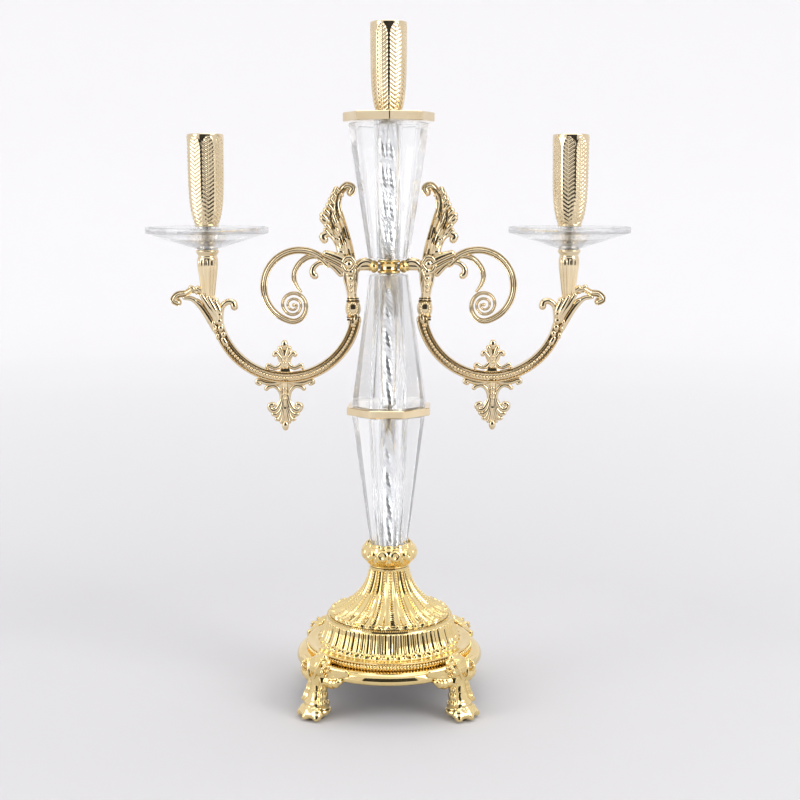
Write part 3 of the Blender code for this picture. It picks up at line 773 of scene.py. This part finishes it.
def cup_mesh():
    """A candle cup on its foot, with the candle's socket above and the stud's hole below."""
    top = CUP_HEIGHT
    runs = [
        [(11.9, top), (13.6, top), (14.4, top - 0.6)],
        [(14.4, top - 0.6), (14.3, top - 3), (14.1, top - 14), (14.0, 44), (13.8, 32), (13.3, 22), (12.3, 13)]
        + [(11.0, 7.0), (9.8, 3.4), (9.0, 1.8)],
        [(9.0, 1.8), (9.4, 1.2), (9.2, 0.1), (8.9, 0.0)],
    ]
    inside = [(STUD_BORE, 0), (STUD_BORE, STUD_HOLE), (AXIS, STUD_HOLE), (AXIS, SOCKET_FLOOR)]
    inside += [(11.4, SOCKET_FLOOR), (SOCKET_RADIUS, SOCKET_FLOOR + 0.5), (SOCKET_RADIUS, top - 0.4)]
    line = profile_of(runs, 0.36)
    return turned_mesh("candle_cup_lancet", line, inside, lancet_relief, PANELS * 20, sharp=60)


def dish_mesh(height):
    """The glass drip dish: a shallow cone with a square rim, hollowed above round a central boss."""
    runs = [
        [(8.9, height), (9.2, height - 0.3), (9.4, 7.8), (10.4, 6.1), (14, 5.4), (30, 9.2), (44.4, 14.0)],
        [(44.4, 14.0), (45.8, 15.6), (46.4, height)],
        [(46.4, height), (48.1, height), (48.5, height - 0.4)],
        [(48.5, height - 0.4), (48.5, 12.6)],
        [(48.5, 12.6), (48.2, 12.0), (46.5, 11.4)],
        [(46.5, 11.4), (10.6, 0.2), (10.0, 0.0)],
    ]
    inside = [(5.2, 0.0), (5.2, height)]
    return turned_mesh("drip_dish_glass", profile_of(runs, 1.0), inside, None, 120, sharp=25)


def stud_relief(theta, along, radius, height):
    """A screw thread."""
    return 0.32 * np.cos(TAU * height / THREAD_PITCH + theta) - 0.3


def stud_mesh():
    line = smooth_line([(THREAD_RADIUS, high("cup_stud_right")), (THREAD_RADIUS, low("cup_stud_right"))], 0.2)
    return turned_mesh("cup_stud_threaded", line, (), stud_relief, 32, sharp=60)


def make_cups_and_dishes():
    cup = cup_mesh()
    dish_low = low("drip_dish_right")
    dish = dish_mesh(high("drip_dish_right") - dish_low)
    thread = stud_mesh()
    node = "candle_cup_center"
    add_piece(node + "_lancet", cup, "cup_center", "gold_pale", node, place=(0, 0, low(node)))
    for word, side in SIDES.items():
        across = side * REACH
        node = "candle_cup_" + word
        place = (across, 0, low(node))
        turn = CUP_TURN * side
        add_piece(node + "_lancet", cup.copy(), "cup_" + word, "gold_pale", node, place=place, turn=turn)
        node = "drip_dish_" + word
        add_piece(node + "_glass", dish.copy(), "dish_" + word, "crystal", node, place=(across, 0, dish_low))
        node = "cup_stud_" + word
        add_piece(node + "_threaded", thread.copy(), "arm_frame", "steel", node, place=(across, 0, 0))


# --- arms

# Points are (across, height) in the right arm's plane, with across read from the column's axis

C_CENTRE = (82, 321.1)
C_RADIUS = 56.2
C_WIDTH = 4.7  # half the width of the C scroll's band
C_ENDS = (190, 345)  # degrees
BEAD_ENDS = (192, 328)  # of the row of beads in it
BEAD_PITCH = 2.7
SCROLL_CENTRE = (71, 338)
SCROLL_RADIUS = 28.8
VOLUTE_CENTRE = (76, 323.2)
VOLUTE_RADII = [13.6, 9.3, 9.5, 9, 7.7, 5.4, 4.8, 5, 3.9, 2]  # at each quarter turn, inwards
PALMETTE_U = 83.8
KNUCKLE_U = 28.7  # the lens-shaped bead on the neck
KNUCKLE_Z = 320.4
STEM_FLUTES = 14
STEM_FLUTES_LOW = 327  # where they end in the leaves


def stem_relief(theta, along, radius, height):
    """Flutes below the stem's mouldings."""
    flutes = np.abs(np.cos(STEM_FLUTES / 2 * theta)) ** 0.7
    return (flutes - 1) * smooth_step((STEM_TOP - 7.0 - height) / 1.6) * (height > STEM_FLUTES_LOW)


def add_stem(shape):
    """The fluted candle stem, which tapers down into the leaves."""
    runs = [
        down_from(STEM_TOP, (8.2, 0), (9.1, 0.5), (9.1, 1.8), (8.3, 3.2)),
        down_from(STEM_TOP, (8.3, 3.2), (7.5, 4.4), (7.5, 5.6), (8, 6.4)),
        down_from(STEM_TOP, (8, 6.4), (8.3, 9), (8.1, 14)) + [(7, 345), (5.7, 334), (4.4, 324)],
    ]
    points, faces = turned(profile_of(runs, 0.5), relief=stem_relief, columns=STEM_FLUTES * 7)
    points[:, 0] += REACH
    shape.add(points, faces)


LEAF_SWELL = 1.18  # how much wider than listed the ribs are made
LEAF_WAVE = [0, 1.2, -0.8, 1.4, -0.6, 1.2, 0.4, 0]  # how far the ribs wave out of the arm's plane
LEAF_RIBS = [  # the sprig above the junction: (route, half-widths, depth share)
    ([(28.8, 353), (33, 374), (37.8, 391), (40.6, 402), (38.8, 411), (33.6, 417.6), (28.8, 415.6)]
     + [(30.2, 412.4)], [3, 3.2, 3, 2.8, 2.7, 2.7, 2.6, 2.9], 0.9),
    ([(31, 354), (37, 377.6), (42.6, 392.3), (45.6, 402.5), (43.8, 409), (41.6, 414.8)],
     [2.6, 3.2, 3.2, 3, 2.6, 2], 0.9),
    ([(33, 355), (39.4, 377), (45.6, 388.6), (50.2, 394.6), (52.4, 391.6), (50.6, 389.4)],
     [2.6, 3, 3, 2.6, 2.2, 2.4], 1),
    ([(34.8, 355), (40.4, 374.4), (45.2, 381.4), (50, 387.4)], [2.4, 2.8, 2.6, 1.8], 1),
    ([(36.4, 355), (39.2, 368.6), (43, 376.6), (48, 379.8), (52.6, 377.8), (51.2, 375.2)],
     [2.6, 2.8, 2.6, 2.4, 2.3, 2.8], 1),
    ([(33.4, 357), (37.6, 374), (43.6, 385), (46.4, 396), (43.4, 404)], [1.6, 1.8, 1.8, 1.6, 1], 2),
    ([(30.6, 360), (35, 382), (40.6, 397), (40.4, 409), (35.4, 415.6)], [1.5, 1.7, 1.7, 1.5, 1.2], 2.2),
]
LEAF_LOBES = [  # the curled lobes along the sprig's outer edge: (across, height, half-width)
    (52.6, 394.4, 2.6), (50.2, 398.2, 2.4), (48, 402.4, 2.3), (46.4, 406.6, 2.1), (44.2, 411, 2),
    (41.6, 415.2, 1.9), (49.4, 386.6, 2.2), (50.6, 382.6, 1.8),
]

PALMETTE_RIBS = [  # one side of the palmette: (routes of (offset, height), half-widths, depth share)
    ([(0.8, 274), (1.4, 282), (3.6, 288.6)], [1.6, 1.8, 2.2], 1.1),
    ([(1.4, 273), (3.2, 280.5), (7, 284.8), (8.2, 283.2)], [1.6, 1.8, 1.9, 2], 1.1),
    ([(2.2, 280), (3.4, 275.4), (7, 272.6), (10.4, 273.4), (13.4, 275), (14, 272.8)],
     [1.4, 1.6, 1.8, 1.7, 1.9, 1.6], 1),
    ([(0.5, 262.6), (8, 260.4), (15, 260.6), (20.6, 262.6), (22.6, 261), (20.6, 259.8)],
     [2.6, 2.4, 2.1, 2.1, 2.1, 1.9], 1),
    ([(2.6, 246), (4, 253.4), (8.2, 257.8), (13, 257.4), (15, 255.8)], [1.6, 1.6, 1.8, 1.9, 2], 1),
    ([(1.6, 251), (3.4, 244.6), (7, 238.6), (11, 238.2), (12.6, 241.6), (10.2, 242.8)],
     [1.8, 1.9, 2.1, 2.2, 2.2, 2.4], 0.9),
    ([(1.2, 248), (3.4, 238.6), (7.2, 234.6), (9.6, 235)], [1.5, 1.8, 2, 1.9], 1.1),
    ([(1, 246), (2.8, 235.6), (5.6, 230.8), (7.2, 231)], [1.4, 1.7, 1.9, 1.7], 1.2),
    ([(0.6, 244), (1.6, 234), (3.2, 228.6)], [1.3, 1.5, 1.7], 1.3),
]
PALMETTE_BODY = [  # the flat plates that join them: (route from the top down, half-widths)
    ([(PALMETTE_U, 290.5), (PALMETTE_U, 265)], [2, 5.4, 6.8, 4.6, 4.2, 6, 9.5]),
    ([(PALMETTE_U, 262), (PALMETTE_U, 229)], [9.5, 6.6, 3.8, 3.4, 5, 8.4, 8.6, 6.2, 3.6]),
]


def add_palmette(shape):
    """The ornament on the C scroll: mirrored ribs on a flat body, a drop at either end, and studs."""
    for side in (1, -1):
        for route, sizes, depth in PALMETTE_RIBS:
            moved = [(PALMETTE_U + side * across, height) for across, height in route]
            shape.bar(moved, sizes, depth=depth, step=0.7)
    for route, sizes in PALMETTE_BODY:
        shape.bar(route, sizes, depth=0.22, round_ends=False)
    shape.bar([(PALMETTE_U, 262), (PALMETTE_U, 250), (PALMETTE_U, 238)], [3, 2.4, 1.6])
    for height, drop in ((291, 4.4), (225.6, 4.2)):
        shape.ball((PALMETTE_U, 0, height), (2.9, 2.4, drop), 12, 16)
    for height, size in ((255.6, 1.9), (251.4, 1.7), (247.6, 1.4), (277, 1.5), (281.4, 1.3)):
        for face in (-1, 1):
            shape.ball((PALMETTE_U, face * 2.2, height), (size, 1.3, size), 8, 12)


def add_knuckle(shape):
    """The neck from the junction down to the C scroll, with the banded lens-shaped bead on it."""
    neck = [(30.4, 357), (30.6, 349), (30.2, 338), (29.2, 328), (28.6, 318), (29, 308)]
    shape.bar(neck, [4.6, 5.4, 4.6, 3.6, 3.6, 3.8], depth=0.95)
    shape.ball((KNUCKLE_U, 0, KNUCKLE_Z), (6.3, 5.6, 8.2), 20, 28)
    for height, reach in ((328.6, 4.6), (326.4, 5.2), (313.8, 5), (311.4, 4.8)):
        ring = [(KNUCKLE_U - reach, height), (KNUCKLE_U + reach, height)]
        shape.bar(ring, [1], depth=reach, step=0.8, round_ends=False)
    for face in (-1, 1):
        for angle in np.arange(14) * TAU / 14:
            spot = (KNUCKLE_U + 3.5 * math.cos(angle), face * 4.7, KNUCKLE_Z + 4.6 * math.sin(angle))
            shape.ball(spot, (1.1, 1.3, 1.2), 6, 8)
        for drop, size in ((349.5, 2.7), (344, 2.4), (338.8, 2), (334.6, 1.6)):
            shape.ball((30.4, face * 4.2, drop), (size, 1.7, size * 1.1), 8, 12)
        for lean in (-1, 1):
            strand = [(30.4 + lean * 5, 352), (30.4 + lean * 4.4, 343), (29.6 + lean * 2.6, 333)]
            shape.bar(strand, [1.3, 1.5, 1], sideways=[face * 2.2, face * 2.4], step=0.8)
    curl = [(28.4, 347), (25.6, 352), (21.6, 356.4), (17, 357.4), (13.6, 355.4), (12.8, 352.6)]
    shape.bar(curl, [2.6, 3, 3.2, 3.2, 3.1, 2.9], depth=1.1)
    inner = [(29, 342), (26.2, 348), (23.4, 351.6)]
    shape.bar(inner, [1.6, 1.8, 1.2], depth=1.6)
    crest = [(27.6, 352), (23.6, 358.2), (18.4, 360.2)]
    shape.bar(crest, [1.8, 1.6, 0.9], depth=1.4)


def add_husk(shape):
    """Leaves that wrap the junction and sheathe the roots of the scroll and of its branch."""
    for route, sizes, lift in (
        ([(28, 350), (33, 356), (40.6, 360.6), (50, 364.2)], [4, 4.6, 4, 2.8], 0),
        ([(29, 346), (35, 351.6), (42.6, 356.6), (50.5, 359.8)], [3, 3.8, 3.6, 2.6], 0),
        ([(31, 342), (36.5, 348.4), (42.6, 353.4), (48, 356.4)], [1.8, 2.2, 2.2, 1.8], 0),
        ([(31, 353), (38, 357.2), (46, 361), (52, 363.4)], [1.5, 2, 1.8, 1.1], 3),
        ([(32, 349), (38.6, 353.4), (45.6, 357.4), (51, 359.6)], [1.4, 1.8, 1.7, 1], 3),
        ([(27, 357), (30.4, 361), (34.8, 360), (37, 354.8)], [1.8, 2.1, 2, 1.4], 3.2),
        ([(26.6, 355), (30, 350.6), (34.4, 350.2), (36.8, 354.4)], [1.5, 1.8, 1.8, 1.3], 3.8),
    ):
        for face in (-1, 1) if lift else (1,):
            shape.bar(route, sizes, sideways=[face * lift])
    shape.ball((31.6, 0, 355.4), (4.4, 5.4, 5.4), 14, 20)


def add_fold(shape, tip, size, root, middle, start_share, depth):
    """A curled lobe. root and middle say how far from its tip its first two points lie."""
    across, height = tip
    fold = [(across - root[0], height - root[1]), (across - middle[0], height - middle[1]), tip]
    shape.bar(fold, [start_share * size, size, size], depth=depth)


def add_stem_leaves(shape):
    """Leaves where the stem grows out of the C scroll: one curls out, one curls in, the others clasp it."""
    outer = [(137.6, 316), (142.4, 326.6), (149, 333), (156.4, 335.4), (162, 332.6), (168, 331.6)]
    outer += [(171.4, 327.6), (168.2, 325.6)]
    shape.bar(outer, [4.2, 3.8, 3.2, 3, 2.6, 2.8, 3, 3.2], MOULDING, 1.1, sideways=LEAF_WAVE)
    under = [(138.6, 304), (144.6, 314.4), (150.4, 322.6), (156.4, 328), (163, 329)]
    shape.bar(under, [3.2, 3.2, 2.8, 2.4, 1.6], depth=1.1)
    lobes = ((147.6, 334.6, 2.2), (152.4, 336.8, 2.2), (157.6, 337.4, 2.1), (153, 326.8, 2))
    for across, height, size in lobes:
        add_fold(shape, (across, height), size, (4.6, 4.4), (1.6, 1), 0.7, 1.5)
    inner = [(134.6, 302), (135, 312.4), (133.4, 321.6), (128.8, 325.8), (124.4, 325.2), (123.4, 321.8)]
    shape.bar(inner, [2.8, 2.8, 2.8, 2.5, 2.6, 3.1], depth=1.1)
    for lean, rise, lift in ((-4.4, -1, 3.4), (0.6, 1.6, 4.8), (5.4, 3, 4.4)):
        clasp = [(136.0 + 0.3 * lean, 310), (137.6 + 0.6 * lean, 318), (142.6 + lean, 327.0 + rise)]
        for face in (-1, 1):
            shape.bar(clasp, [1.8, 2.8, 2], sideways=[face * lift * 0.7, face * lift])
            bend = (142.8 + 1.06 * lean, face * (lift + 0.5), 328.0 + rise)
            shape.ball(bend, (2, 1.6, 2), 8, 12)
    studs = ((134.9, 315.6, 2.4), (135.2, 310.4, 2.6), (134.2, 305, 2.5), (132.2, 300, 2.2))
    for across, height, size in studs:
        for face in (-1, 1):
            shape.ball((across, face * 3.9, height), (size, 1.7, 1.15 * size), 8, 12)
            shape.ball((across + 4.6, face * 3.6, height - 1.6), (1.5, 1.5, 2.8), 8, 12)


def volute_route():
    """The spiral that ends the scroll, from its lowest point inwards."""
    quarter = np.linspace(0, len(VOLUTE_RADII) - 1, 8 * len(VOLUTE_RADII))
    radius = averaged(np.interp(quarter, np.arange(len(VOLUTE_RADII)), VOLUTE_RADII), 7)
    angle = -(quarter + 1) * math.pi / 2
    return np.stack([radius * np.cos(angle), radius * np.sin(angle)], axis=1) + VOLUTE_CENTRE


def arm_shape():
    """The right arm, in millimetres."""
    shape = Shape()
    band = arc(C_CENTRE, C_RADIUS, *C_ENDS, 60)
    shape.bar(band, [C_WIDTH], CHANNEL, 0.9, step=1.2)
    scroll = np.vstack([arc(SCROLL_CENTRE, SCROLL_RADIUS, 141, -74, 60), volute_route()])
    widths = [3.3, 3, 2.9, 2.8, 2.8, 2.7, 2.5, 2, 1.6, 1.4, 1.25, 1.15, 1]
    shape.bar(scroll, widths, MOULDING, 0.95, step=0.8)
    shape.ball((VOLUTE_CENTRE[0], 0, VOLUTE_CENTRE[1]), (1.6, 2.4, 1.6), 8, 14)
    branch = [(45, 357.6), (51, 361), (57.5, 362.2), (64, 361.4), (70, 357.6), (74.6, 351)]
    branch += [(75.6, 344.4), (73.6, 338.6), (70.4, 334.2)]
    shape.bar(branch, [2.5, 2.5, 2.4, 2.4, 2.4, 2.3, 2.2, 1.8, 1.1], MOULDING, 1)
    curl = [(38.6, 347.5), (44.4, 353.6), (50.1, 356.8), (56, 356.4), (60.4, 352.4), (60.6, 348)]
    curl += [(59, 346.4)]
    shape.bar(curl, [2.2, 2.2, 2, 1.9, 2.1, 2.4, 3])
    for route, sizes, depth in LEAF_RIBS:
        wide = [LEAF_SWELL * size for size in sizes]
        shape.bar(route, wide, MOULDING if depth < 1 else ROUND, depth, sideways=LEAF_WAVE)
    for across, height, size in LEAF_LOBES:
        add_fold(shape, (across, height), size, (5, 5.4), (1.8, 2), 0.6, 1.3)
    socket = [(14.6, HUB_Z), (19, HUB_Z), (23.6, HUB_Z - 0.6)]
    shape.bar(socket, [3.3, 3.4, 2.8])
    add_stem(shape)
    add_palmette(shape)
    add_knuckle(shape)
    add_husk(shape)
    add_stem_leaves(shape)
    return shape


def arm_bead_shape():
    """The row of small beads in the C scroll's channel, with a rounded stop at each end, on both faces."""
    shape = Shape()
    for across, height in smooth_line(arc(C_CENTRE, C_RADIUS, *BEAD_ENDS, 80), BEAD_PITCH):
        for face in (-1, 1):
            shape.ball((across, face * 2.8, height), (1.45, 1.6, 1.45), 8, 10)
    for start, end in ((190, 186), (330, 334)):
        loop = arc(C_CENTRE, C_RADIUS, start, end, 5)
        for face in (-1, 1):
            shape.bar(loop, [2.6, 2], sideways=[face * 2.6])
    return shape


def make_arms():
    casting = arm_shape().mesh("arm_casting", 50)
    beads = arm_bead_shape().mesh("arm_beads")
    for word, side in SIDES.items():
        own = casting if side > 0 else mirrored(casting)
        row = beads if side > 0 else mirrored(beads)
        add_piece(f"arm_{word}_casting", own, "arm_frame", "gold_pale", "arm_" + word)
        add_piece(f"arm_{word}_beads", row, "arm_frame", "gold_pale")


# --- the CAD nodes


def dress_nodes():
    """Gives every CAD node its material and slot from the record."""
    slots = {entry["node"]: entry["material_slot"] for entry in frame["record"]["subparts"]}
    for name, node in frame["nodes"].items():
        node.data.materials.clear()
        node.data.materials.append(MATERIALS[slots[name]])


# --- stage, lights and camera

STUDIO_RADIUS = 3000.0  # where the floor has turned into the wall
STUDIO_TOP = 2600.0
# painted shade: the floor's colour near the column, darker than the wall's, paints the shade on the floor
FLOOR_PAINTED_SHADE = (0.58, 0.571, 0.577)
WALL_SHADE = (0.90, 0.89, 0.895)
SHADE_STARTS = 0.4  # metres from the column, where the floor's painted shade starts to fade towards the wall's colour
SHADE_ENDS = 2.4
CARD_AWAY = 2.0  # metres from the column
CARD_HALF = 1.3  # half its width
CARD_LOW = 0.02
CARD_TOP = 1.8


def make_stage():
    """A pale floor that rises into a round wall, far from the object. Shade is painted on the floor: its
    colour is darker near the column.
    """
    wall = STUDIO_RADIUS + 100
    bend = [(STUDIO_RADIUS - 1000, 0.0), (STUDIO_RADIUS - 400, 60), (STUDIO_RADIUS, 380), (wall, 900)]
    bowl = profile_of([[(0.02, 0), bend[0]], bend, [bend[-1], (wall, STUDIO_TOP)]], 80)
    shape = Shape()
    shape.add(*turned(bowl, columns=96))
    shape.faces = [tuple(reversed(face)) for face in shape.faces[:-2]]  # open, and facing in
    floor = linked("floor", shape.mesh("floor", 60))

    def build(tree, shader):
        place = tree.nodes.new("ShaderNodeTexCoord")
        reach = tree.nodes.new("ShaderNodeVectorMath")
        reach.operation = "LENGTH"
        tree.links.new(place.outputs["Object"], reach.inputs[0])
        rise = ranged(tree, reach.outputs["Value"], 0.0, 1.0, SHADE_STARTS, SHADE_ENDS)
        # painted shade: the colour goes from the darker painted floor shade near the column to the pale wall
        # further out
        tree.links.new(blended(tree, rise, FLOOR_PAINTED_SHADE, WALL_SHADE), shader.inputs["Base Color"])
        shader.inputs["Roughness"].default_value = 0.9
        shader.inputs["Specular IOR Level"].default_value = 0.2

    floor.data.materials.append(node_material("pale_floor_painted_shade", build))


def make_dark_card():
    """A dark card in front, as photographers use with plated metal. Only the gloss and the glass show it."""
    mesh = bpy.data.meshes.new("dark_card")
    corners = [(-CARD_HALF, -CARD_AWAY, CARD_LOW), (CARD_HALF, -CARD_AWAY, CARD_LOW)]
    corners += [(CARD_HALF, -CARD_AWAY, CARD_TOP), (-CARD_HALF, -CARD_AWAY, CARD_TOP)]
    mesh.from_pydata(corners, [], [(0, 1, 2, 3)])
    card = linked("dark_card", mesh)
    mesh.materials.append(dull("dark_card", (0.02, 0.02, 0.02), (0.03, 0.03, 0.03), 0.8, 0.0, 20.0))
    card.visible_camera = False
    card.visible_diffuse = False
    card.visible_shadow = False


LIT_SPOT = (0, 0, 0.28)  # metres, near the object's middle
WORLD_COLOUR = (0.97, 0.98, 1.0, 1)
WORLD_STRENGTH = 1.02


def area_light(name, place, size, power):
    """A soft light that faces the object. Places are in metres and the power in watts."""
    data = bpy.data.lights.new(name, "AREA")
    data.shape = "RECTANGLE"
    data.size, data.size_y = size
    data.energy = power
    light = linked(name, data)
    light.location = place
    light.rotation_euler = (Vector(LIT_SPOT) - Vector(place)).to_track_quat("-Z", "Y").to_euler()


def make_lights():
    area_light("key", (1.5, -1.1, 1.3), (0.8, 1.4), 18)
    area_light("fill", (-1.6, -0.8, 0.9), (0.8, 1.4), 10)
    area_light("top", (0.2, 0.3, 2.2), (1.6, 1.6), 10)
    world = bpy.data.worlds.new("studio")
    world.use_nodes = True
    background = world.node_tree.nodes["Background"]
    background.inputs["Color"].default_value = WORLD_COLOUR
    background.inputs["Strength"].default_value = WORLD_STRENGTH
    bpy.context.scene.world = world


CAMERA_DISTANCE = 1.12  # metres
CAMERA_HEIGHT = 0.4135
CAMERA_AZIMUTH = math.radians(-1)
CAMERA_PITCH = math.radians(8.5)
CAMERA_YAW = math.radians(0.455)  # the object stands a little left of the middle
CAMERA_SENSOR = 36.0
CAMERA_LENS = 63.0
LIGHT_BOUNCES = 24  # enough to pass through both walls of three crystals


def make_camera():
    data = bpy.data.cameras.new("camera")
    data.sensor_width = CAMERA_SENSOR
    data.lens = CAMERA_LENS
    data.dof.use_dof = False
    camera = linked("camera", data)
    across = CAMERA_DISTANCE * math.sin(CAMERA_AZIMUTH)
    camera.location = (across, -CAMERA_DISTANCE * math.cos(CAMERA_AZIMUTH), CAMERA_HEIGHT)
    camera.rotation_euler = (math.pi / 2 - CAMERA_PITCH, 0, CAMERA_AZIMUTH - CAMERA_YAW)
    bpy.context.scene.camera = camera
    bpy.context.scene.view_settings.view_transform = "Standard"
    cycles = bpy.context.scene.cycles
    cycles.max_bounces = LIGHT_BOUNCES
    cycles.transmission_bounces = LIGHT_BOUNCES
    cycles.transparent_max_bounces = LIGHT_BOUNCES


make_camera()
make_stage()
make_dark_card()
make_lights()
make_drum()
make_bell()
make_knop()
make_feet()
for part, forward in (("lower", False), ("middle", False), ("upper", True)):
    cut_crystal(part, forward)
    make_sleeve(part)
make_hub()
make_arm_collars()
make_cups_and_dishes()
make_arms()
dress_nodes()
